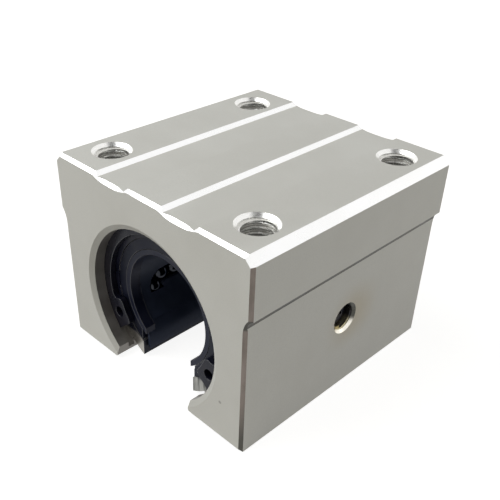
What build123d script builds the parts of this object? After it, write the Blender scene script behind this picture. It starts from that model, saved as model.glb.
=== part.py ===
from build123d import *
import os
from math import acos, cos, degrees, pi, radians, sin, sqrt

# Open linear bearing block for a supported round shaft of 20 mm.
# Y runs along the shaft and Z points up, with the origin on the shaft axis at mid-length.
# Angles round the shaft are measured from straight up, so the open side of every ring is at 180 degrees.
# All sizes are in millimetres and degrees.

# Housing
block_width = 48.0
block_length = 50.0
axis_to_top = 23.0
axis_to_foot = 15.0
flange_depth = 10.85
step_inset = 1.0
step_root_radius = 1.8
top_edge_chamfer = 1.4
foot_edge_chamfer = 0.8
rail_slot_width = 20.0
mouth_chamfer_width = 1.0
mouth_chamfer_depth = 0.6

# Two shallow grooves along the top
groove_inner_x = 4.0
groove_outer_x = 12.6
groove_depth = 0.7

# Chamfer milled round each end face, and how the cutter rounds the inner corners of its path
end_chamfer = 0.55
groove_path_radius = 8.0
step_path_radius = 4.0

# Tapped holes for the carriage plate, drawn at the outer radius of their thread
plate_pitch_x = 35.0
plate_pitch_y = 35.0
plate_thread_radius = 3.0
plate_sink_radius = 3.6
plate_hole_depth = 13.5

# Set screw in the right side, and its seat in the bearing
screw_radius = 2.47
screw_thread_radius = 2.5
screw_sink_radius = 3.0
screw_recess = 1.7
screw_face_chamfer = 0.5
screw_hex_across = 2.5
screw_hex_depth = 2.4
dog_radius = 1.5
dog_length = 1.3
screw_seat_clearance = 0.1

# Shaft, and the balls in their loaded and return rows round it
shaft_radius = 10.0
ball_radius = 3.175 / 2
ball_play = 0.07
load_row_angles = (-96.0, -24.0, 24.0, 96.0)
load_row_radius = shaft_radius + ball_radius
return_row_rise = 1.1125
return_row_radius = load_row_radius + return_row_rise
row_gap = 1.145
row_spacing = 2 * ball_radius + row_gap

# Slot widths at the open side, from the retainer outward
retainer_slot_width = 12.4
ledge_width = 0.65
ledge_clearance = 0.1
sleeve_slot_width = retainer_slot_width + 2 * (ledge_width + ledge_clearance)
end_ring_slot_inset = 0.35
end_ring_slot_width = sleeve_slot_width + 2 * end_ring_slot_inset

# Bearing sleeve that fills the housing bore, set back from the housing's ends
sleeve_race_play = 0.025
sleeve_race_radius = load_row_radius + ball_radius + sleeve_race_play
sleeve_race_half_angle = 9.0
sleeve_relief_play = 0.1
sleeve_relief_radius = return_row_radius + ball_radius + sleeve_relief_play
sleeve_wall_thickness = 1.6125
bearing_radius = sleeve_relief_radius + sleeve_wall_thickness
bearing_fit = 0.02
bearing_setback = 4.0
bearing_length = block_length - 2 * bearing_setback

# Retaining rings
ring_thickness = 1.2
ring_groove_width = 1.3
ring_groove_depth = 0.85
ring_groove_radius = bearing_radius + ring_groove_depth
ring_groove_clearance = 0.1
ring_outer_radius = ring_groove_radius - ring_groove_clearance
ring_band_width = 2.55
ring_inner_radius = ring_outer_radius - ring_band_width
ring_gap_angle = 100.0
lug_angle = 24.0
lug_reach = 2.4
lug_inner_radius = ring_inner_radius - lug_reach
lug_round = 1.0
lug_root_round = 0.8
eye_radius = 1.1
eye_inset = 2.1

# Ball retainer, set back from the sleeve's ends
retainer_setback = 2.4
retainer_length = bearing_length - 2 * retainer_setback
retainer_bore_clearance = 0.5
retainer_inner_radius = shaft_radius + retainer_bore_clearance
retainer_fit = 0.1
channel_step_depth = 0.6
channel_floor_half_width = 1.5
ledge_inner_inset = 0.7
ledge_outer_reach = 1.3
ledge_setback = 1.0
ledge_length = bearing_length - 2 * ledge_setback
edge_bevel_width = 1.2
edge_bevel_height = 2.8
edge_bevel_rise = 0.1

# Closed ball tracks, whose straight rows end short of the retainer's ends
track_end_margin = 5.9
track_run = retainer_length - 2 * track_end_margin

# End rings and seals
seal_lip_clearance = 0.03
seal_lip_radius = shaft_radius + seal_lip_clearance
seal_width = 1.07
seal_fit = 0.05
end_ring_inner_radius = seal_lip_radius + seal_width + seal_fit
end_ring_setback = 0.1
end_ring_fit = 0.05
end_ring_back_clearance = 0.1

cut_margin = 1.0


def polar(radius, angle):
    """Point at a radius and an angle from straight up, as X and Z."""
    return radius * sin(radians(angle)), radius * cos(radians(angle))


def along_shaft(section, length):
    """Extrude a section drawn in X and Z, centred on mid-length."""
    return extrude(Plane.XZ * section, length / 2, both=True)


def turned(points):
    """Turn a closed outline of (radius, Y) points about the shaft axis."""
    return revolve(make_face(Polyline(*points, close=True)), Axis.Y)


def both_ends(points):
    """Repeat (radius, Y) points of the front end at the rear end."""
    return points + [(radius, -y) for radius, y in reversed(points)]


def open_slot(width, length):
    """Parallel-sided cut from the shaft axis down through the open side."""
    height = bearing_radius + axis_to_foot
    return Pos(0, 0, -height / 2) * Box(width, length, height)


# Housing

def arc_reach(radius, depth):
    """Length along the floor of an arc that runs out of it and climbs this depth."""
    return sqrt(radius**2 - (radius - depth) ** 2)


def below_groove(root_radius):
    """Right half of the outline from the groove's outer edge down to the foot."""
    half = block_width / 2
    step_z = axis_to_top - flange_depth
    root_z = step_z - arc_reach(root_radius, step_inset)
    return [
        Polyline(
            (groove_outer_x, axis_to_top),
            (half - top_edge_chamfer, axis_to_top),
            (half, axis_to_top - top_edge_chamfer),
            (half, step_z),
        ),
        TangentArc((half - step_inset, root_z), (half, step_z), tangent=(0, 1)),
        Polyline(
            (half - step_inset, root_z),
            (half - step_inset, -axis_to_foot),
            (0, -axis_to_foot),
        ),
    ]


def housing_section():
    low = axis_to_top - groove_depth
    groove = Polyline(
        (0, axis_to_top),
        (groove_inner_x, axis_to_top),
        (groove_inner_x + groove_depth, low),
        (groove_outer_x - groove_depth, low),
        (groove_outer_x, axis_to_top),
    )
    right = Curve() + [groove] + below_groove(step_root_radius)
    return make_face(right + mirror(right, Plane.YZ))


def cutter_section():
    """Housing outline with its inner corners filled as far as the cutter reaches."""
    low = axis_to_top - groove_depth
    in_groove = arc_reach(groove_path_radius, groove_depth)
    groove = [
        Line((0, axis_to_top), (groove_inner_x, axis_to_top)),
        TangentArc((groove_inner_x + in_groove, low), (groove_inner_x, axis_to_top), tangent=(-1, 0)),
        Line((groove_inner_x + in_groove, low), (groove_outer_x - in_groove, low)),
        TangentArc((groove_outer_x - in_groove, low), (groove_outer_x, axis_to_top), tangent=(1, 0)),
    ]
    right = Curve() + groove + below_groove(step_path_radius)
    return make_face(right + mirror(right, Plane.YZ))


def end_chamfered_envelope():
    envelope = along_shaft(cutter_section(), block_length)
    ends = envelope.faces().filter_by(Axis.Y)
    return chamfer(ends.edges(), end_chamfer)


def housing_bore():
    """Bore with its mouth chamfers and the two retaining-ring grooves."""
    face = -block_length / 2
    mouth = bearing_radius + mouth_chamfer_width
    groove_start = -bearing_length / 2 - ring_groove_width
    groove_end = -bearing_length / 2
    front = [
        (0, face - cut_margin),
        (mouth, face - cut_margin),
        (mouth, face),
        (bearing_radius, face + mouth_chamfer_depth),
        (bearing_radius, groove_start),
        (ring_groove_radius, groove_start),
        (ring_groove_radius, groove_end),
        (bearing_radius, groove_end),
    ]
    return turned(both_ends(front))


def rail_slot():
    """Opening at the foot that straddles the shaft support, with broken lower edges."""
    half = rail_slot_width / 2
    flare = foot_edge_chamfer + cut_margin
    outline = Polyline(
        (-half, 0),
        (half, 0),
        (half, foot_edge_chamfer - axis_to_foot),
        (half + flare, -axis_to_foot - cut_margin),
        (-half - flare, -axis_to_foot - cut_margin),
        (-half, foot_edge_chamfer - axis_to_foot),
        close=True,
    )
    return along_shaft(make_face(outline), block_length + 2 * cut_margin)


def tapped_hole(radius, sink_radius, depth):
    """Countersunk hole, down from the origin along Z."""
    outline = Polyline(
        (0, cut_margin),
        (sink_radius, cut_margin),
        (sink_radius, 0),
        (radius, radius - sink_radius),
        (radius, -depth),
        (0, -depth),
        close=True,
    )
    return revolve(Plane.XZ * make_face(outline), Axis.Z)


def plate_holes():
    hole = tapped_hole(plate_thread_radius, plate_sink_radius, plate_hole_depth)
    grid = GridLocations(plate_pitch_x, plate_pitch_y, 2, 2)
    return [Pos(0, 0, axis_to_top) * place * hole for place in grid]


def side_x():
    """The right side below the step, where the set screw goes in."""
    return block_width / 2 - step_inset


def screw_hole():
    """Tapped hole from the right side into the bore, at mid-length and at shaft height."""
    depth = side_x() - bearing_radius + cut_margin
    hole = tapped_hole(screw_thread_radius, screw_sink_radius, depth)
    return Pos(side_x(), 0, 0) * Rot(0, 90, 0) * hole


def housing():
    body = along_shaft(housing_section(), block_length) & end_chamfered_envelope()
    return body - housing_bore() - rail_slot() - plate_holes() - screw_hole()


# Set screw

def set_screw():
    """Screw with a hex socket, whose dog point stands in the bearing sleeve."""
    face_x = side_x() - screw_recess
    tip_x = bearing_radius - dog_length
    shoulder_x = bearing_radius + screw_seat_clearance
    outline = Polyline(
        (0, tip_x),
        (dog_radius, tip_x),
        (dog_radius, shoulder_x),
        (screw_radius, shoulder_x),
        (screw_radius, face_x - screw_face_chamfer),
        (screw_radius - screw_face_chamfer, face_x),
        (0, face_x),
        close=True,
    )
    body = revolve(Plane.XZ * make_face(outline), Axis.Z)
    socket = RegularPolygon(screw_hex_across / 2, 6, major_radius=False)
    body -= Pos(0, 0, face_x - screw_hex_depth) * extrude(socket, screw_hex_depth + cut_margin)
    return Rot(0, 90, 0) * body


# Retaining rings

def wedge(low_angle, high_angle):
    """Flat wedge between two angles, from the axis to beyond the ring."""
    reach = 2 * ring_outer_radius
    middle = (low_angle + high_angle) / 2
    corners = [polar(reach, angle) for angle in (low_angle, middle, high_angle)]
    return make_face(Polyline((0, 0), *corners, close=True))


def at_radius(vertices, radius):
    return [v for v in vertices if abs(sqrt(v.X**2 + v.Y**2) - radius) < 1e-3]


def ring_section():
    """Open ring with an inward lug and a plier eye at each end."""
    gap_start = 180 - ring_gap_angle / 2
    lug_start = gap_start - lug_angle
    section = Circle(ring_outer_radius) - Circle(ring_inner_radius)
    lug_band = Circle(ring_outer_radius) - Circle(lug_inner_radius)
    for side in (-1, 1):
        section += lug_band & wedge(side * lug_start, side * gap_start)
    section -= wedge(gap_start, 360 - gap_start)
    section = fillet(at_radius(section.vertices(), lug_inner_radius), lug_round)
    section = fillet(at_radius(section.vertices(), ring_inner_radius), lug_root_round)
    for side in (-1, 1):
        eye_x, eye_z = polar(lug_inner_radius + eye_inset, side * (gap_start - lug_angle / 2))
        section -= Pos(eye_x, eye_z) * Circle(eye_radius)
    return section


def retaining_ring(side):
    """Ring in its groove, side -1 at the front and 1 at the rear."""
    centre_y = side * (bearing_length + ring_groove_width) / 2
    return Pos(0, centre_y, 0) * along_shaft(ring_section(), ring_thickness)


# Ball tracks

def return_angle(load_angle):
    """The return row lies on the side of the loaded row that is nearer the open side."""
    squares = load_row_radius**2 + return_row_radius**2 - row_spacing**2
    turn = degrees(acos(squares / (2 * load_row_radius * return_row_radius)))
    return load_angle + turn if load_angle > 0 else load_angle - turn


def track_plane(load_angle):
    """Plane through both rows of a track, its X along the shaft and its normal outward."""
    load_x, load_z = polar(load_row_radius, load_angle)
    return_x, return_z = polar(return_row_radius, return_angle(load_angle))
    middle = Vector((load_x + return_x) / 2, 0, (load_z + return_z) / 2)
    across = Vector(return_x - load_x, 0, return_z - load_z)
    normal = across.cross(Vector(0, 1, 0)).normalized()
    if normal.dot(middle) < 0:
        normal = -normal
    return Plane(origin=middle, x_dir=(0, 1, 0), z_dir=normal)


def track_ring(half_width):
    """Flat closed band along the track, as wide as the ball channel."""
    outer = SlotCenterToCenter(track_run, row_spacing + 2 * half_width)
    return outer - SlotCenterToCenter(track_run, row_spacing - 2 * half_width)


def track_point(distance):
    """Point on the closed track, in the track's own plane."""
    radius = row_spacing / 2
    turn = pi * radius
    if distance < track_run:
        return distance - track_run / 2, -radius
    if distance < track_run + turn:
        angle = (distance - track_run) / radius - pi / 2
        return track_run / 2 + radius * cos(angle), radius * sin(angle)
    if distance < 2 * track_run + turn:
        return track_run * 1.5 + turn - distance, radius
    angle = (distance - 2 * track_run - turn) / radius + pi / 2
    return radius * cos(angle) - track_run / 2, radius * sin(angle)


def ball():
    """Ball drawn with 14 flat facets, its corners on the true sphere."""
    reach = sqrt(2) * ball_radius
    base = Rot(0, 0, 45) * Rectangle(2 * ball_radius, 2 * ball_radius)
    pyramid = loft([base, Vertex(0, 0, reach)])
    return Box(reach, reach, reach) & (pyramid + mirror(pyramid, Plane.XY))


def ball_circuit(load_angle):
    """All the balls of one closed track, as separate solids."""
    length = 2 * track_run + pi * row_spacing
    count = int(length / (2 * ball_radius))
    one = ball()
    places = [Pos(*track_point(length * i / count)) for i in range(count)]
    return Compound(children=[track_plane(load_angle) * place * one for place in places])


# Bearing sleeve

def sleeve_wall():
    """Turned wall, relieved over the length of the ball tracks."""
    end = -bearing_length / 2
    relief_start = -track_run / 2 - row_spacing / 2 - ball_radius - ball_play
    return turned(both_ends([
        (bearing_radius - bearing_fit, end),
        (sleeve_race_radius, end),
        (sleeve_race_radius, relief_start),
        (sleeve_relief_radius, relief_start),
    ]))


def raised_race(load_angle):
    """Raised land inside the sleeve that the balls of a loaded row run on."""
    middle = (sleeve_relief_radius + bearing_radius) / 2
    sector = wedge(load_angle - sleeve_race_half_angle, load_angle + sleeve_race_half_angle)
    return along_shaft((Circle(middle) - Circle(sleeve_race_radius)) & sector, track_run)


def screw_seat():
    """Blind hole in the sleeve that takes the dog point of the set screw."""
    radius = dog_radius + screw_seat_clearance
    depth = dog_length + screw_seat_clearance
    return Pos(bearing_radius - depth + bearing_radius / 2, 0, 0) * (
        Rot(0, 90, 0) * Cylinder(radius, bearing_radius)
    )


def bearing_sleeve():
    sleeve = sleeve_wall() - open_slot(sleeve_slot_width, bearing_length + cut_margin)
    return sleeve + [raised_race(angle) for angle in load_row_angles] - screw_seat()


# Ball retainer

def channel(load_angle):
    """Stepped channel of one track, open outward, whose loaded row breaks through to the shaft."""
    half_width = ball_radius + ball_play
    height = bearing_radius - shaft_radius
    opening = SlotCenterToCenter(track_run, row_spacing + 2 * half_width)
    wide = Pos(0, 0, -channel_step_depth) * extrude(opening, height)
    floor = track_ring(channel_floor_half_width)
    narrow = Pos(0, 0, -half_width) * extrude(floor, half_width)
    return track_plane(load_angle) * (wide + narrow)


def slot_ledges():
    """Thin ledges that cover the cut edges of the sleeve."""
    half = retainer_slot_width / 2 + ledge_width
    outer = sleeve_race_radius + ledge_outer_reach
    band = Circle(outer) - Circle(retainer_inner_radius + ledge_inner_inset)
    strip = Pos(0, -bearing_radius / 2) * Rectangle(2 * half, bearing_radius)
    return along_shaft(band & strip, ledge_length)


def edge_bevels():
    """Bevels along both inner edges of the retainer's slot."""
    half = retainer_slot_width / 2
    low_z = edge_bevel_rise - retainer_inner_radius
    high_z = low_z + edge_bevel_height
    bevels = []
    for side in (-1, 1):
        outline = Polyline(
            (side * half, low_z),
            (side * (half + edge_bevel_width), high_z),
            (side * (half - cut_margin), high_z),
            (side * (half - cut_margin), low_z),
            close=True,
        )
        bevels.append(along_shaft(make_face(outline), ledge_length))
    return bevels


def ball_retainer():
    outer = sleeve_race_radius - retainer_fit
    ring = along_shaft(Circle(outer) - Circle(retainer_inner_radius), retainer_length)
    body = ring + slot_ledges() - open_slot(retainer_slot_width, bearing_length)
    return body - edge_bevels() - [channel(angle) for angle in load_row_angles]


# End rings and seals

def end_ring_span():
    """Front and back of the front end ring along Y."""
    return -bearing_length / 2 + end_ring_setback, -retainer_length / 2 - end_ring_back_clearance


def end_ring(side):
    """Ring pressed into the sleeve that holds the seal and keeps the retainer in."""
    front, back = end_ring_span()
    outer = sleeve_race_radius - end_ring_fit
    ring = turned([
        (end_ring_inner_radius, front),
        (outer, front),
        (outer, back),
        (end_ring_inner_radius, back),
    ])
    ring -= open_slot(end_ring_slot_width, bearing_length)
    return ring if side < 0 else mirror(ring, Plane.XZ)


def seal(side):
    """Wiper ring inside the end ring, whose lip runs on the shaft."""
    front, back = end_ring_span()
    outer = end_ring_inner_radius - seal_fit
    wiper = turned([
        (seal_lip_radius, front),
        (outer, front),
        (outer, back),
        (seal_lip_radius, back),
    ])
    wiper -= open_slot(retainer_slot_width, bearing_length)
    return wiper if side < 0 else mirror(wiper, Plane.XZ)


def nodes():
    parts = {
        "housing": housing(),
        "set_screw": set_screw(),
        "retaining_ring_front": retaining_ring(-1),
        "retaining_ring_rear": retaining_ring(1),
        "bearing_sleeve": bearing_sleeve(),
        "ball_retainer": ball_retainer(),
        "end_ring_front": end_ring(-1),
        "end_ring_rear": end_ring(1),
        "seal_front": seal(-1),
        "seal_rear": seal(1),
    }
    for number, angle in enumerate(load_row_angles, start=1):
        parts[f"ball_circuit_{number}"] = ball_circuit(angle)
    return parts


os.makedirs("parts", exist_ok=True)
for name, shape in nodes().items():
    export_step(shape, f"parts/{name}.step")
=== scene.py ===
import bpy
import bmesh
from math import cos, hypot, pi, radians, sin
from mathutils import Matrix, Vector


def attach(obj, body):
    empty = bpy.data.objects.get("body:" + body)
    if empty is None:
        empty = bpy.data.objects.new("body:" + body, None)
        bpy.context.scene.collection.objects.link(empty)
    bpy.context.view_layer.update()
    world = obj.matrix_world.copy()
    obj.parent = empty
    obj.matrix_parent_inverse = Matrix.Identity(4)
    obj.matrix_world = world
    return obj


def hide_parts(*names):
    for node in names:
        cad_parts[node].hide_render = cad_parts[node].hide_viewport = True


# Open linear bearing block for a 20 mm shaft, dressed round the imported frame.
# The frame gives the shape of the pieces. Here they get their finish, round balls and cut threads.
# Y runs along the shaft and Z is up, in metres.

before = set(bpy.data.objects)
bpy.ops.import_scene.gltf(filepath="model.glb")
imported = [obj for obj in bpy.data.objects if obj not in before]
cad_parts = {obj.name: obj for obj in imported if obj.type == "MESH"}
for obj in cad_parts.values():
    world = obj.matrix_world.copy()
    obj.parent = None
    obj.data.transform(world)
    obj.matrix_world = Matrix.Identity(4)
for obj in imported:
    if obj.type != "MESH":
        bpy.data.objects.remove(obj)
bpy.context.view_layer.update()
scene = bpy.context.scene
scene.view_settings.view_transform = "Standard"

# Camera of the photograph, in metres and degrees
camera_place = (0.07876, -0.08445, 0.07389)
camera_turn = (56.06, -1.27, 45.44)
camera_lens_mm = 51.48
camera_shift = (0.0345, 0.0619)
camera_near_limit = 0.005

# Light of the studio, each lamp with its place, width, watts and colour
lamps = (
    ("high_softbox", (-0.30, -0.26, 0.52), 0.5, 2.75, (0.98, 1.0, 1.01)),
    ("front_fill", (0.0, -0.45, 0.05), 0.3, 0.13, (1.0, 0.88, 0.68)),
    ("far_side_fill", (0.14, 0.16, 0.05), 0.1, 0.012, (1.0, 0.95, 0.86)),
)
sky_tone = (0.205, 0.20, 0.185)
dark_card_direction = (0.30, -0.33, 0.895)
dark_card_edge = (0.90, 0.97)
dark_card_tone = (0.10, 0.10, 0.10)
floor_tone = (0.36, 0.355, 0.335)
floor_glow = 0.90
floor_z = -0.015
floor_half_width = 0.6

# Housing
block_top = 0.023
right_side = 0.023
side_start = 0.0225
flange_edge_start = 0.0228
bore_reach = 0.0172
mouth_start = 0.0243
slot_wall_reach = 0.0109
half_pitch = 0.035 / 2
plate_hole_reach = 0.0037
screw_hole_reach = 0.0031

# Black pieces
socket_reach = 0.0016
edge_rounding = 0.00007

# Threads
plate_thread_radius = 0.0030
plate_thread_pitch = 0.0010
plate_thread_turns = 11.39
plate_sink_radius = 0.0036
screw_thread_radius = 0.0025
screw_thread_pitch = 0.0008
screw_thread_turns = 1.125
screw_sink_radius = 0.0030
thread_height_share = 0.54
thread_root_share = 0.86
thread_crest_share = 0.22
thread_overlap = 0.00003
thread_end_share = 0.46
thread_points_per_turn = 64

# Painted shade and light, the oil stain round the side hole and other tones, with the two heights, depths
# or radii between which each fades
# Painted shadow in the root fillet under the flange fades in between these heights
root_top_heights = (0.0125, 0.0122)
root_foot_heights = (0.0104, 0.0099)
# Black towards the foot on the upright chamfers
foot_darkening_heights = (-0.003, -0.013)
# Painted shade over the upper part of the side hole, painted light below
screw_hole_shade_heights = (-0.0005, -0.0019)
halo_centre_y = 0.0018
halo_radii = (0.0105, 0.0035)
halo_blur = 0.004
halo_strength = 0.5
# Painted shade in the thread roots of the plate holes fades in between these radii
thread_tone_radii = (0.00262, 0.00290)
plate_sink_tone_radii = (0.00301, 0.00308)
screw_sink_tone_radii = (0.00245, 0.0026)
# Depths between which the painted root shade fades out towards the top of the plate holes
bright_wall_depths = (0.0019, 0.0011)
# Sleeve ends: black above and bright below these heights, lighter left and darker right across these sides
bright_end_heights = (-0.0098, -0.0110)
end_tone_sides = (-0.004, 0.004)

# Ball tracks
ball_radius = 0.003175 / 2
ball_segments = 24
ball_rings = 14
load_row_radius = 0.0115875
return_row_radius = 0.0127
return_row_turn = 19.814
load_row_angles = (-96.0, -24.0, 24.0, 96.0)
track_run = 0.0254
balls_per_track = 20
track_turn_points = 24

# Meshes
weld_distance = 1e-6
flat_angle = 0.4
sharp_angle = 28.0

# Share of a normal along an axis, past which a face counts as square to it
nearly_square = 0.95
square = 0.97


# Node helpers

def new_material(name):
    material = bpy.data.materials.new(name)
    material.use_nodes = True
    return material, material.node_tree, material.node_tree.nodes["Principled BSDF"]


def add_node(tree, kind, **settings):
    node = tree.nodes.new(kind)
    for key, value in settings.items():
        setattr(node, key, value)
    return node


def feed(tree, socket, value):
    """Set a socket to a plain value, or link it to another node's output."""
    if isinstance(value, bpy.types.NodeSocket):
        tree.links.new(value, socket)
    elif value is not None:
        socket.default_value = value


def feed_all(tree, node, values):
    for label, value in values.items():
        feed(tree, node.inputs[label], value)


def math_node(tree, operation, *values):
    node = add_node(tree, "ShaderNodeMath", operation=operation)
    for socket, value in zip(node.inputs, values):
        feed(tree, socket, value)
    return node.outputs[0]


def split_axes(tree, place):
    split = add_node(tree, "ShaderNodeSeparateXYZ")
    tree.links.new(place, split.inputs[0])
    return split.outputs


def length_of(tree, first, second):
    squares = [math_node(tree, "MULTIPLY", side, side) for side in (first, second)]
    return math_node(tree, "SQRT", math_node(tree, "ADD", *squares))


def object_coordinates(tree):
    return add_node(tree, "ShaderNodeTexCoord").outputs["Object"]


def noise(tree, coordinates, scale, detail=2.0, roughness=0.5, stretch=(1, 1, 1)):
    mapping = add_node(tree, "ShaderNodeMapping")
    feed_all(tree, mapping, {"Vector": coordinates, "Scale": stretch})
    node = add_node(tree, "ShaderNodeTexNoise")
    stretched = mapping.outputs["Vector"]
    feed_all(tree, node, {"Vector": stretched, "Scale": scale, "Detail": detail, "Roughness": roughness})
    return node.outputs["Fac"]


def ramp(tree, value, low, high, to_low=0.0, to_high=1.0):
    node = add_node(tree, "ShaderNodeMapRange", interpolation_type="SMOOTHSTEP")
    feed_all(tree, node, {"Value": value, "From Min": low, "From Max": high})
    feed_all(tree, node, {"To Min": to_low, "To Max": to_high})
    return node.outputs["Result"]


def mix_colour(tree, factor, first, second):
    node = add_node(tree, "ShaderNodeMix", data_type="RGBA")
    for socket, value in ((node.inputs[0], factor), (node.inputs[6], first), (node.inputs[7], second)):
        feed(tree, socket, (*value, 1.0) if isinstance(value, tuple) else value)
    return node.outputs[2]


def bump(tree, height, distance, strength, below=None):
    node = add_node(tree, "ShaderNodeBump")
    feed_all(tree, node, {"Height": height, "Distance": distance, "Strength": strength, "Normal": below})
    return node.outputs["Normal"]


def seen_directly(tree):
    """1 for the rays that see the background itself, in a mirror or through glass."""
    path = add_node(tree, "ShaderNodeLightPath").outputs
    seen = math_node(tree, "MAXIMUM", path["Is Camera Ray"], path["Is Glossy Ray"])
    return math_node(tree, "MAXIMUM", seen, path["Is Transmission Ray"])


# Materials of the block

def dark_specks(tree, place):
    """Share of the few small dark dots on a blasted face."""
    cells = add_node(tree, "ShaderNodeTexVoronoi", feature="F1")
    feed_all(tree, cells, {"Vector": place, "Scale": 160, "Randomness": 1.0})
    dot = ramp(tree, cells.outputs["Distance"], 0.035, 0.06, 1.0, 0.0)
    rare = math_node(tree, "GREATER_THAN", cells.outputs["Color"], 0.80)
    return math_node(tree, "MULTIPLY", dot, rare)


def oil_halo(tree, place, clouds):
    """Share of the yellow stain that oil has left round the side hole."""
    axes = split_axes(tree, place)
    on_side = math_node(tree, "GREATER_THAN", axes["X"], side_start)
    rearward = math_node(tree, "SUBTRACT", axes["Y"], halo_centre_y)
    reach = math_node(tree, "MULTIPLY_ADD", clouds, halo_blur, length_of(tree, rearward, axes["Z"]))
    return math_node(tree, "MULTIPLY", on_side, ramp(tree, reach, *halo_radii, 0.0, halo_strength))


def blasted_aluminium(name, metallic):
    """Fine blasted and anodised faces of the housing, with faint clouds, a few specks and the oil stain."""
    material, tree, shader = new_material(name)
    place = object_coordinates(tree)
    clouds = noise(tree, place, 70, 3)
    grain = noise(tree, place, 5200, 2, 0.6)
    draw = noise(tree, place, 900, 2, stretch=(1, 0.03, 1))
    tone = mix_colour(tree, ramp(tree, clouds, 0.32, 0.68), (0.595, 0.588, 0.545), (0.645, 0.640, 0.600))
    tone = mix_colour(tree, ramp(tree, grain, 0.35, 0.7, 0.0, 0.22), tone, (0.50, 0.495, 0.46))
    speck = math_node(tree, "MULTIPLY", dark_specks(tree, place), 0.55)
    tone = mix_colour(tree, speck, tone, (0.16, 0.15, 0.13))
    feed_all(tree, shader, {
        "Base Color": mix_colour(tree, oil_halo(tree, place, clouds), tone, (0.50, 0.42, 0.27)),
        "Metallic": metallic,
        "Roughness": ramp(tree, clouds, 0.3, 0.7, 0.46, 0.54),
        "Normal": bump(tree, draw, 0.000006, 0.35, bump(tree, grain, 0.000012, 0.5)),
    })
    return material


def cut_aluminium():
    """Bright chamfers, with the fine lines that the cutter leaves."""
    material, tree, shader = new_material("cut_aluminium")
    place = object_coordinates(tree)
    lines = noise(tree, place, 2600, 2, stretch=(1, 0.08, 1))
    patches = noise(tree, place, 120, 2)
    feed_all(tree, shader, {
        "Base Color": mix_colour(tree, ramp(tree, patches, 0.3, 0.7), (0.98, 0.98, 0.97), (1.0, 1.0, 1.0)),
        "Metallic": 0.97,
        "Roughness": ramp(tree, patches, 0.3, 0.7, 0.24, 0.30),
        "Normal": bump(tree, lines, 0.000004, 0.3),
    })
    return material


def painted_shade_aluminium():
    """Upright end chamfers, painted dark brown as a painted dark reflection, with painted shadow in black
    in the root under the flange and black towards the foot.
    """
    material, tree, shader = new_material("painted_shade_aluminium")
    place = object_coordinates(tree)
    patches = noise(tree, place, 420, 3, stretch=(1, 1, 0.4))
    spread = ramp(tree, patches, 0.3, 0.7)
    brown = mix_colour(tree, spread, (0.17, 0.14, 0.12), (0.29, 0.245, 0.22))
    black = mix_colour(tree, spread, (0.045, 0.045, 0.038), (0.095, 0.09, 0.075))
    height = split_axes(tree, place)["Z"]
    below_flange = ramp(tree, height, *root_top_heights)
    below_root = ramp(tree, height, *root_foot_heights)
    # Share of painted shadow in the root fillet under the flange
    painted_root_shadow = math_node(tree, "SUBTRACT", below_flange, below_root)
    # The larger of the painted shadow under the flange and the black towards the foot
    root_shadow_and_dark_foot = math_node(tree, "MAXIMUM", painted_root_shadow, ramp(tree, height, *foot_darkening_heights))
    feed_all(tree, shader, {
        "Base Color": mix_colour(tree, root_shadow_and_dark_foot, brown, black),
        "Metallic": 0.45,
        "Roughness": ramp(tree, patches, 0.3, 0.7, 0.36, 0.5),
        "Normal": bump(tree, patches, 0.00001, 0.4),
    })
    return material


def bored_aluminium():
    """Wall of the bore and of the slot at the foot, turned and milled after the blasting."""
    material, tree, shader = new_material("bored_aluminium")
    place = object_coordinates(tree)
    rings = noise(tree, place, 700, 2, stretch=(0.05, 1, 0.05))
    patches = noise(tree, place, 180, 3)
    spread = ramp(tree, patches, 0.3, 0.7)
    feed_all(tree, shader, {
        "Base Color": mix_colour(tree, spread, (0.205, 0.19, 0.175), (0.28, 0.265, 0.245)),
        "Metallic": 0.5,
        "Roughness": ramp(tree, patches, 0.3, 0.7, 0.36, 0.46),
        "Normal": bump(tree, rings, 0.00001, 0.45),
    })
    return material


def tapped_aluminium():
    """Countersinks and threads of the plate holes, evenly bright near the top; deeper down the crests stay
    bright and the roots get painted shade.
    """
    material, tree, shader = new_material("tapped_aluminium")
    place = object_coordinates(tree)
    axes = split_axes(tree, place)
    from_centre = [math_node(tree, "SUBTRACT", math_node(tree, "ABSOLUTE", axes[name]), half_pitch)
                   for name in ("X", "Y")]
    from_axis = length_of(tree, *from_centre)
    scratches = noise(tree, place, 900, 2, stretch=(1, 1, 6))
    # Painted shade: the thread roots dark grey, the crests near white
    painted_root_shade = ramp(tree, from_axis, *thread_tone_radii)
    tone = mix_colour(tree, painted_root_shade, (1.0, 0.995, 0.975), (0.36, 0.355, 0.335))
    near_top = ramp(tree, axes["Z"], *[block_top - depth for depth in bright_wall_depths])
    tone = mix_colour(tree, near_top, tone, (0.84, 0.835, 0.81))
    in_sink = ramp(tree, from_axis, *plate_sink_tone_radii)
    tone = mix_colour(tree, in_sink, tone, (0.97, 0.965, 0.94))
    dulled = ramp(tree, scratches, 0.35, 0.75, 0.0, 0.10)
    feed_all(tree, shader, {
        "Base Color": mix_colour(tree, dulled, tone, (0.40, 0.39, 0.36)),
        "Metallic": 0.92,
        "Roughness": ramp(tree, scratches, 0.3, 0.7, 0.24, 0.34),
        "Normal": bump(tree, scratches, 0.000006, 0.35),
    })
    return material


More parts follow.
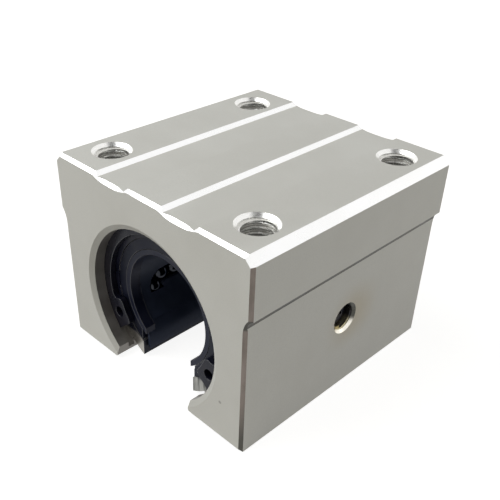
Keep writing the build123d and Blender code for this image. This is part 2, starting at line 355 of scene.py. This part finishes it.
def shade_painted_tapped_aluminium():
    """Side hole, painted black shade in its upper half and painted brassy light below."""
    material, tree, shader = new_material("shade_painted_tapped_aluminium")
    place = object_coordinates(tree)
    axes = split_axes(tree, place)
    smears = noise(tree, place, 700, 2)
    height = math_node(tree, "MULTIPLY_ADD", smears, 0.0008, axes["Z"])
    # Share of the painted light, below the wavy edge of the painted shade
    lighter = ramp(tree, height, *screw_hole_shade_heights)
    in_sink = ramp(tree, length_of(tree, axes["Y"], axes["Z"]), *screw_sink_tone_radii)
    bright = mix_colour(tree, in_sink, (0.62, 0.55, 0.34), (0.98, 0.94, 0.84))
    painted_shade_tone = mix_colour(tree, in_sink, (0.022, 0.020, 0.024), (0.085, 0.085, 0.070))
    feed_all(tree, shader, {
        "Base Color": mix_colour(tree, lighter, painted_shade_tone, bright),
        "Metallic": ramp(tree, lighter, 0.0, 1.0, 0.35, 0.9),
        "Roughness": ramp(tree, smears, 0.3, 0.7, 0.22, 0.34),
        "Normal": bump(tree, smears, 0.000006, 0.35),
    })
    return material


# Materials of the bearing

def ground_steel():
    """Hardened steel inside the sleeve, with faint grinding lines."""
    material, tree, shader = new_material("ground_steel")
    place = object_coordinates(tree)
    lines = noise(tree, place, 1100, 2, stretch=(1, 0.04, 1))
    spread = ramp(tree, noise(tree, place, 160, 2), 0.3, 0.7)
    feed_all(tree, shader, {
        "Base Color": mix_colour(tree, spread, (0.36, 0.35, 0.335), (0.50, 0.49, 0.475)),
        "Metallic": 0.9,
        "Roughness": ramp(tree, lines, 0.3, 0.7, 0.28, 0.38),
        "Normal": bump(tree, lines, 0.000004, 0.3),
    })
    return material


def sleeve_end_steel():
    """End faces of the sleeve, black higher up and bright steel near the bottom beside the open slot,
    lighter on the left than on the right.
    """
    material, tree, shader = new_material("sleeve_end_steel")
    place = object_coordinates(tree)
    axes = split_axes(tree, place)
    patches = noise(tree, place, 420, 3)
    streaks = noise(tree, place, 1300, 2, stretch=(1, 1, 0.15))
    spread = ramp(tree, streaks, 0.3, 0.7)
    lighter = mix_colour(tree, spread, (0.30, 0.285, 0.26), (0.48, 0.465, 0.43))
    right_tone = mix_colour(tree, spread, (0.05, 0.052, 0.05), (0.34, 0.34, 0.32))
    bright = mix_colour(tree, ramp(tree, axes["X"], *end_tone_sides), lighter, right_tone)
    black = mix_colour(tree, ramp(tree, patches, 0.35, 0.7), (0.008, 0.010, 0.024), (0.013, 0.014, 0.030))
    bright_share = ramp(tree, axes["Z"], *bright_end_heights)
    feed_all(tree, shader, {
        "Base Color": mix_colour(tree, bright_share, black, bright),
        "Metallic": ramp(tree, bright_share, 0.0, 1.0, 0.0, 0.8),
        "Specular IOR Level": 0.12,
        "Roughness": ramp(tree, patches, 0.3, 0.7, 0.26, 0.38),
        "Normal": bump(tree, streaks, 0.000005, 0.3),
    })
    return material


def shade_darkened_ball_steel():
    """Mirror finish of the balls, darkened in colour and edge tint as a painted dark reflection, so that
    only small glints show.
    """
    material, tree, shader = new_material("shade_darkened_ball_steel")
    haze = noise(tree, object_coordinates(tree), 900, 2)
    spread = ramp(tree, haze, 0.3, 0.7)
    feed_all(tree, shader, {
        # Painted dark reflection in the base colour and the edge tint
        "Base Color": mix_colour(tree, spread, (0.022, 0.024, 0.029), (0.038, 0.040, 0.046)),
        "Metallic": 1.0,
        "Specular Tint": (0.25, 0.27, 0.32, 1.0),
        "Roughness": ramp(tree, haze, 0.3, 0.7, 0.10, 0.17),
    })
    return material


def black_oxide():
    """Blackened spring and screw steel, worn a little brown."""
    material, tree, shader = new_material("black_oxide")
    place = object_coordinates(tree)
    patches = noise(tree, place, 520, 3)
    grain = noise(tree, place, 6000, 2)
    worn = ramp(tree, patches, 0.35, 0.7)
    feed_all(tree, shader, {
        "Base Color": mix_colour(tree, worn, (0.007, 0.008, 0.017), (0.014, 0.013, 0.021)),
        "Specular IOR Level": 0.14,
        "Specular Tint": (0.75, 0.80, 1.0, 1.0),
        "Roughness": ramp(tree, patches, 0.3, 0.7, 0.24, 0.36),
        "Normal": bump(tree, grain, 0.000008, 0.4),
    })
    return material


def glint_painted_socket_steel():
    """Upper-facing flats of the hex socket, painted bright as a glint of the light from above."""
    material, tree, shader = new_material("glint_painted_socket_steel")
    glint_patches = noise(tree, object_coordinates(tree), 1500, 2)
    feed_all(tree, shader, {
        # Painted glint on the upward flats of the socket
        "Base Color": mix_colour(tree, ramp(tree, glint_patches, 0.35, 0.6), (0.45, 0.44, 0.44), (0.95, 0.94, 0.93)),
        "Metallic": 0.3,
        "Roughness": ramp(tree, glint_patches, 0.3, 0.7, 0.2, 0.35),
    })
    return material


def black_resin(name, dark, light, gloss):
    """Moulded black resin with a fine matt skin."""
    material, tree, shader = new_material(name)
    place = object_coordinates(tree)
    skin = noise(tree, place, 3400, 3, 0.6)
    patches = noise(tree, place, 240, 2)
    feed_all(tree, shader, {
        "Base Color": mix_colour(tree, ramp(tree, patches, 0.3, 0.7), dark, light),
        "Specular IOR Level": gloss,
        "Specular Tint": (0.70, 0.78, 1.0, 1.0),
        "Roughness": ramp(tree, patches, 0.3, 0.7, 0.28, 0.40),
        "Normal": bump(tree, skin, 0.00001, 0.4),
    })
    return material


def seal_rubber():
    """Soft black rubber of the wiper seals."""
    material, tree, shader = new_material("seal_rubber")
    place = object_coordinates(tree)
    skin = noise(tree, place, 2600, 3, 0.6)
    patches = noise(tree, place, 400, 2)
    spread = ramp(tree, patches, 0.3, 0.7)
    feed_all(tree, shader, {
        "Base Color": mix_colour(tree, spread, (0.009, 0.011, 0.026), (0.015, 0.017, 0.034)),
        "Specular IOR Level": 0.14,
        "Specular Tint": (0.75, 0.80, 1.0, 1.0),
        "Roughness": ramp(tree, patches, 0.3, 0.7, 0.34, 0.46),
        "Normal": bump(tree, skin, 0.000012, 0.5),
    })
    return material


def glossy_edges():
    """Rubbed edges of the black pieces, which catch the light."""
    material, tree, shader = new_material("glossy_edges")
    patches = noise(tree, object_coordinates(tree), 800, 2)
    worn = ramp(tree, patches, 0.35, 0.7)
    feed_all(tree, shader, {
        "Base Color": mix_colour(tree, worn, (0.012, 0.014, 0.026), (0.026, 0.027, 0.040)),
        "Specular IOR Level": 0.55,
        "Roughness": ramp(tree, patches, 0.3, 0.7, 0.12, 0.24),
    })
    return material


# Pieces taken over from the frame

def welded_copy(node, name):
    """Copy of a node's mesh with its loose triangles joined into one closed skin."""
    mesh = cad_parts[node].data.copy()
    mesh.materials.clear()
    if mesh.has_custom_normals:
        mesh.attributes.remove(mesh.attributes["custom_normal"])
    joined = bmesh.new()
    joined.from_mesh(mesh)
    bmesh.ops.remove_doubles(joined, verts=joined.verts, dist=weld_distance)
    bmesh.ops.dissolve_limit(
        joined, angle_limit=radians(flat_angle), verts=joined.verts, edges=joined.edges, delimit=set()
    )
    joined.to_mesh(mesh)
    joined.free()
    piece = bpy.data.objects.new(name, mesh)
    scene.collection.objects.link(piece)
    return piece


def smooth(piece):
    piece.data.polygons.foreach_set("use_smooth", [True] * len(piece.data.polygons))
    piece.data.set_sharp_from_angle(angle=radians(sharp_angle))


def seat(piece, slot, *nodes):
    """The piece rides on the one body and stands for its nodes."""
    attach(piece, "root")
    if nodes:
        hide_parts(*nodes)
    return piece


def round_edges(piece, width, material):
    """Narrow rounding along every sharp edge of a piece, with a finish of its own."""
    piece.data.materials.append(material)
    rounding = piece.modifiers.new("edge_rounding", "BEVEL")
    rounding.width = width
    rounding.segments = 2
    rounding.limit_method = "ANGLE"
    rounding.angle_limit = radians(sharp_angle)
    rounding.use_clamp_overlap = False
    rounding.material = len(piece.data.materials) - 1


def dressed(node, materials, slot, finish_of=None, edges=None):
    """A node's own shape, with the finish that finish_of gives each face."""
    piece = welded_copy(node, node + "_finish")
    for material in materials:
        piece.data.materials.append(material)
    if finish_of:
        for face in piece.data.polygons:
            face.material_index = finish_of(face.center, face.normal)
    smooth(piece)
    if edges:
        round_edges(piece, edge_rounding, edges)
    return seat(piece, slot, node)


# Finish of each face, as a number in the order of its piece's materials

BLASTED, BRIGHT, PAINTED_SHADE, BORED, PLATE_HOLE, SCREW_HOLE, BORE_MOUTH = range(7)


def housing_finish(centre, normal):
    """Finish of a face of the housing, by where it lies and which way it looks."""
    from_plate_hole = hypot(abs(centre.x) - half_pitch, abs(centre.y) - half_pitch)
    if from_plate_hole < plate_hole_reach and centre.z > 0 and normal.z < nearly_square:
        return PLATE_HOLE
    if hypot(centre.y, centre.z) < screw_hole_reach and centre.x > 0 and normal.x < nearly_square:
        return SCREW_HOLE
    across = abs(normal.y)
    from_shaft = hypot(centre.x, centre.z)
    inward = -(centre.x * normal.x + centre.z * normal.z) / max(from_shaft, 1e-9)
    if from_shaft < bore_reach:
        if inward > 0.4:
            return BORE_MOUTH if abs(centre.y) > mouth_start and across > 0.1 else BORED
        if across > nearly_square and abs(centre.y) < mouth_start:
            return BORED
    # Slot walls at the foot; their downward faces get painted shadow
    if abs(centre.x) < slot_wall_reach and centre.z < 0 and across < 0.5:
        return PAINTED_SHADE if normal.z < -0.3 else BORED
    # Root fillet under the flange gets painted shadow
    if abs(centre.x) > flange_edge_start and normal.z < -0.05 and across < 0.5:
        return PAINTED_SHADE
    if max(abs(normal.x), across, abs(normal.z)) > square:
        return BLASTED
    if normal.z > 0.3:
        return BRIGHT
    # Steep end chamfers and side faces left over get the painted dark reflection
    return PAINTED_SHADE if across > 0.3 or abs(centre.x) > side_start else BLASTED


def screw_finish(centre, normal):
    """0 black, 1 the flats of the socket that face upwards, which carry the painted glint."""
    in_socket = hypot(centre.y, centre.z) < socket_reach and abs(normal.x) < 0.2
    # Upward flats inside the socket take the painted glint
    return 1 if in_socket and centre.x > 0 and normal.z > 0.2 and centre.z < 0 else 0


def sleeve_finish(centre, normal):
    """0 ground inside, 1 the end faces, 2 black outside and where the sleeve is cut open."""
    if abs(normal.y) > 0.9:
        return 1
    outward = (centre.x * normal.x + centre.z * normal.z) / max(hypot(centre.x, centre.z), 1e-9)
    return 2 if outward > 0.9 or abs(normal.x) > 0.99 else 0


# Geometry Nodes helpers

def new_tree(name, inputs):
    """Geometry Nodes tree with named inputs, given as (name, socket type)."""
    tree = bpy.data.node_groups.new(name, "GeometryNodeTree")
    tree.interface.new_socket("Geometry", in_out="INPUT", socket_type="NodeSocketGeometry")
    for label, kind in inputs:
        tree.interface.new_socket(label, in_out="INPUT", socket_type=kind)
    tree.interface.new_socket("Geometry", in_out="OUTPUT", socket_type="NodeSocketGeometry")
    return tree, add_node(tree, "NodeGroupInput").outputs, add_node(tree, "NodeGroupOutput").inputs


def chain(tree, geometry, kind, values, **settings):
    """Add a node behind a geometry, with its other inputs given by name."""
    node = add_node(tree, kind, **settings)
    tree.links.new(geometry, node.inputs[0])
    feed_all(tree, node, values)
    return node.outputs[0]


def finish_tree(tree, geometry, material, output):
    real = chain(tree, geometry, "GeometryNodeRealizeInstances", {})
    coated = chain(tree, real, "GeometryNodeSetMaterial", {"Material": material})
    tree.links.new(coated, output)


def grown(name, points, edges, tree, values):
    """Plain mesh that a tree makes from base points and edges."""
    base = bpy.data.meshes.new(name + "_base")
    base.from_pydata(points, edges, [])
    start = bpy.data.objects.new(name + "_start", base)
    scene.collection.objects.link(start)
    modifier = start.modifiers.new("grow", "NODES")
    modifier.node_group = tree
    for item in tree.interface.items_tree:
        if item.in_out == "INPUT" and item.name in values:
            modifier[item.identifier] = values[item.name]
    graph = bpy.context.evaluated_depsgraph_get()
    mesh = bpy.data.meshes.new_from_object(start.evaluated_get(graph), depsgraph=graph)
    start.modifiers.remove(modifier)
    bpy.data.objects.remove(start)
    bpy.data.meshes.remove(base)
    piece = bpy.data.objects.new(name, mesh)
    scene.collection.objects.link(piece)
    return piece


# Threads

def held_outside_cone(tree, rise):
    """Positions pushed outward to the countersink, a cone whose radius is the height plus this rise."""
    position = add_node(tree, "GeometryNodeInputPosition").outputs[0]
    axes = split_axes(tree, position)
    radius = length_of(tree, axes["X"], axes["Y"])
    limit = math_node(tree, "ADD", axes["Z"], rise)
    growth = math_node(tree, "MAXIMUM", math_node(tree, "DIVIDE", limit, radius), 1.0)
    joined = add_node(tree, "ShaderNodeCombineXYZ")
    feed_all(tree, joined, {
        "X": math_node(tree, "MULTIPLY", axes["X"], growth),
        "Y": math_node(tree, "MULTIPLY", axes["Y"], growth),
        "Z": axes["Z"],
    })
    return joined.outputs[0]


def thread_tree():
    """Helical ridge that climbs from every base point and runs out in the countersink."""
    tree, given, output = new_tree("cut_thread", [
        ("Radius", "NodeSocketFloat"),
        ("Pitch", "NodeSocketFloat"),
        ("Turns", "NodeSocketFloat"),
        ("Cone rise", "NodeSocketFloat"),
        ("Turned", "NodeSocketVector"),
        ("Material", "NodeSocketMaterial"),
    ])
    spiral = add_node(tree, "GeometryNodeCurveSpiral")
    feed_all(tree, spiral, {
        "Resolution": thread_points_per_turn,
        "Rotations": given["Turns"],
        "Start Radius": given["Radius"],
        "End Radius": given["Radius"],
        "Height": math_node(tree, "MULTIPLY", given["Turns"], given["Pitch"]),
    })
    ridge = add_node(tree, "GeometryNodeCurvePrimitiveQuadrilateral", mode="TRAPEZOID")
    feed_all(tree, ridge, {
        "Height": math_node(tree, "MULTIPLY", given["Pitch"], thread_height_share),
        "Bottom Width": math_node(tree, "MULTIPLY", given["Pitch"], thread_root_share),
        "Top Width": math_node(tree, "MULTIPLY", given["Pitch"], thread_crest_share),
        "Offset": 0.0,
    })
    upright = chain(tree, spiral.outputs[0], "GeometryNodeSetCurveNormal", {}, mode="Z_UP")
    profile = {"Profile Curve": ridge.outputs[0], "Fill Caps": True}
    mesh = chain(tree, upright, "GeometryNodeCurveToMesh", profile)
    flat = chain(tree, mesh, "GeometryNodeSetShadeSmooth", {"Shade Smooth": False})
    outside = held_outside_cone(tree, given["Cone rise"])
    cut_back = chain(tree, flat, "GeometryNodeSetPosition", {"Position": outside})
    turned = chain(tree, cut_back, "GeometryNodeTransform", {"Rotation": given["Turned"]})
    placed = chain(tree, given["Geometry"], "GeometryNodeInstanceOnPoints", {"Instance": turned})
    finish_tree(tree, placed, given["Material"], output[0])
    return tree


def cut_threads(tree, name, mouths, outward, turned, sizes, material):
    """Threads that end in these hole mouths. The sizes are radius, pitch, turns and countersink radius."""
    radius, pitch, turns, sink_radius = sizes
    rise = (turns + thread_end_share) * pitch
    feet = [tuple(place - rise * share for place, share in zip(mouth, outward)) for mouth in mouths]
    piece = grown(name, feet, [], tree, {
        "Radius": radius, "Pitch": pitch, "Turns": turns,
        "Cone rise": sink_radius - rise + thread_overlap,
        "Turned": turned, "Material": material,
    })
    seat(piece, "milled_aluminium")


# Balls

def polar(radius, angle):
    """Point at a radius and an angle from straight up."""
    return Vector((radius * sin(radians(angle)), 0, radius * cos(radians(angle))))


def track_loop(load_angle):
    """Points of one closed ball track."""
    turn = return_row_turn if load_angle > 0 else -return_row_turn
    load = polar(load_row_radius, load_angle)
    back = polar(return_row_radius, load_angle + turn)
    along = Vector((0, 1, 0))
    outward = (back - load).cross(along).normalized()
    if outward.dot(load) < 0:
        outward.negate()
    across = outward.cross(along)
    radius = (back - load).length / 2
    loop = []
    for end, start_angle in ((1, -pi / 2), (-1, pi / 2)):
        for step in range(track_turn_points + 1):
            angle = start_angle + pi * step / track_turn_points
            y = end * track_run / 2 + radius * cos(angle)
            loop.append((load + back) / 2 + along * y + across * radius * sin(angle))
    return loop


def ball_tree():
    """Balls spread evenly along a closed loop of edges."""
    tree, given, output = new_tree("balls_in_track", [
        ("Ball radius", "NodeSocketFloat"),
        ("Balls", "NodeSocketInt"),
        ("Material", "NodeSocketMaterial"),
    ])
    curve = chain(tree, given["Geometry"], "GeometryNodeMeshToCurve", {})
    spread = chain(tree, curve, "GeometryNodeResampleCurve", {"Count": given["Balls"]})
    ball = add_node(tree, "GeometryNodeMeshUVSphere")
    feed_all(tree, ball, {"Segments": ball_segments, "Rings": ball_rings, "Radius": given["Ball radius"]})
    round_ball = chain(tree, ball.outputs[0], "GeometryNodeSetShadeSmooth", {})
    placed = chain(tree, spread, "GeometryNodeInstanceOnPoints", {"Instance": round_ball})
    finish_tree(tree, placed, given["Material"], output[0])
    return tree


def ball_circuits(material):
    tree = ball_tree()
    for number, load_angle in enumerate(load_row_angles, 1):
        loop = track_loop(load_angle)
        edges = [(i, (i + 1) % len(loop)) for i in range(len(loop))]
        values = {"Ball radius": ball_radius, "Balls": balls_per_track, "Material": material}
        piece = grown(f"balls_{number}", loop, edges, tree, values)
        seat(piece, "ball_steel", f"ball_circuit_{number}")


# Stage and camera

def make_camera():
    camera = bpy.data.objects.new("camera", bpy.data.cameras.new("camera"))
    scene.collection.objects.link(camera)
    camera.location = camera_place
    camera.rotation_euler = [radians(angle) for angle in camera_turn]
    camera.data.lens = camera_lens_mm
    camera.data.shift_x, camera.data.shift_y = camera_shift
    camera.data.clip_start = camera_near_limit
    scene.camera = camera


def area_light(name, place, width, watts, colour):
    """Square lamp that looks at the middle of the block."""
    lamp = bpy.data.lights.new(name, "AREA")
    lamp.energy = watts
    lamp.size = width
    lamp.color = colour
    light = bpy.data.objects.new(name, lamp)
    scene.collection.objects.link(light)
    light.location = place
    light.rotation_euler = (-Vector(place)).to_track_quat("-Z", "Y").to_euler()


def make_sky():
    """Even sky that lights the block, seen as a white room with one dark card in its mirror images."""
    world = bpy.data.worlds.new("studio")
    scene.world = world
    world.use_nodes = True
    tree = world.node_tree
    towards_card = add_node(tree, "ShaderNodeVectorMath", operation="DOT_PRODUCT")
    feed(tree, towards_card.inputs[0], add_node(tree, "ShaderNodeTexCoord").outputs["Generated"])
    feed(tree, towards_card.inputs[1], dark_card_direction)
    card = ramp(tree, towards_card.outputs["Value"], *dark_card_edge)
    room = mix_colour(tree, card, (1.0, 1.0, 1.0), dark_card_tone)
    colour = mix_colour(tree, seen_directly(tree), sky_tone, room)
    feed(tree, tree.nodes["Background"].inputs["Color"], colour)


def make_floor():
    """Pale floor that looks white."""
    material, tree, shader = new_material("pale_floor")
    feed_all(tree, shader, {
        "Base Color": (*floor_tone, 1.0),
        "Roughness": 0.9,
        "Specular IOR Level": 0.0,
        "Emission Color": (1.0, 1.0, 1.0, 1.0),
        "Emission Strength": math_node(tree, "MULTIPLY", seen_directly(tree), floor_glow),
    })
    low, high = -floor_half_width, floor_half_width
    corners = [(x, y, floor_z) for x, y in ((low, low), (high, low), (high, high), (low, high))]
    mesh = bpy.data.meshes.new("floor")
    mesh.from_pydata(corners, [], [(0, 1, 2, 3)])
    mesh.materials.append(material)
    floor = bpy.data.objects.new("floor", mesh)
    scene.collection.objects.link(floor)


make_camera()
make_sky()
make_floor()
for lamp in lamps:
    area_light(*lamp)

tapped = tapped_aluminium()
shade_painted_tapped = shade_painted_tapped_aluminium()
housing_materials = [
    blasted_aluminium("blasted_aluminium", 0.28), cut_aluminium(), painted_shade_aluminium(), bored_aluminium(),
    tapped, shade_painted_tapped, blasted_aluminium("blasted_mouth", 0.05),
]
oxide = black_oxide()
resin = black_resin("black_resin", (0.007, 0.009, 0.020), (0.011, 0.013, 0.028), 0.10)
# Lighter copy of the black resin for the retainer, painted light against the shade deep in the bore
lightened_retainer_resin = black_resin("lightened_retainer_resin", (0.035, 0.045, 0.080), (0.045, 0.057, 0.096), 0.12)
rubber = seal_rubber()
rubbed = glossy_edges()

dressed("housing", housing_materials, "milled_aluminium", housing_finish)
dressed("set_screw", [oxide, glint_painted_socket_steel()], "black_steel", screw_finish, rubbed)
for end in ("front", "rear"):
    dressed("retaining_ring_" + end, [oxide], "black_steel", edges=rubbed)
    dressed("end_ring_" + end, [resin], "black_resin", edges=rubbed)
    dressed("seal_" + end, [rubber], "seal_rubber", edges=rubbed)
dressed("bearing_sleeve", [ground_steel(), sleeve_end_steel(), oxide], "bearing_steel", sleeve_finish)
dressed("ball_retainer", [lightened_retainer_resin], "black_resin")
ball_circuits(shade_darkened_ball_steel())

thread = thread_tree()
plate_mouths = [(x, y, block_top) for x in (-half_pitch, half_pitch) for y in (-half_pitch, half_pitch)]
plate_sizes = (plate_thread_radius, plate_thread_pitch, plate_thread_turns, plate_sink_radius)
cut_threads(thread, "plate_threads", plate_mouths, (0, 0, 1), (0, 0, 0), plate_sizes, tapped)
screw_sizes = (screw_thread_radius, screw_thread_pitch, screw_thread_turns, screw_sink_radius)
screw_mouth = [(right_side, 0, 0)]
cut_threads(thread, "side_thread", screw_mouth, (1, 0, 0), (0, pi / 2, 0), screw_sizes, shade_painted_tapped)
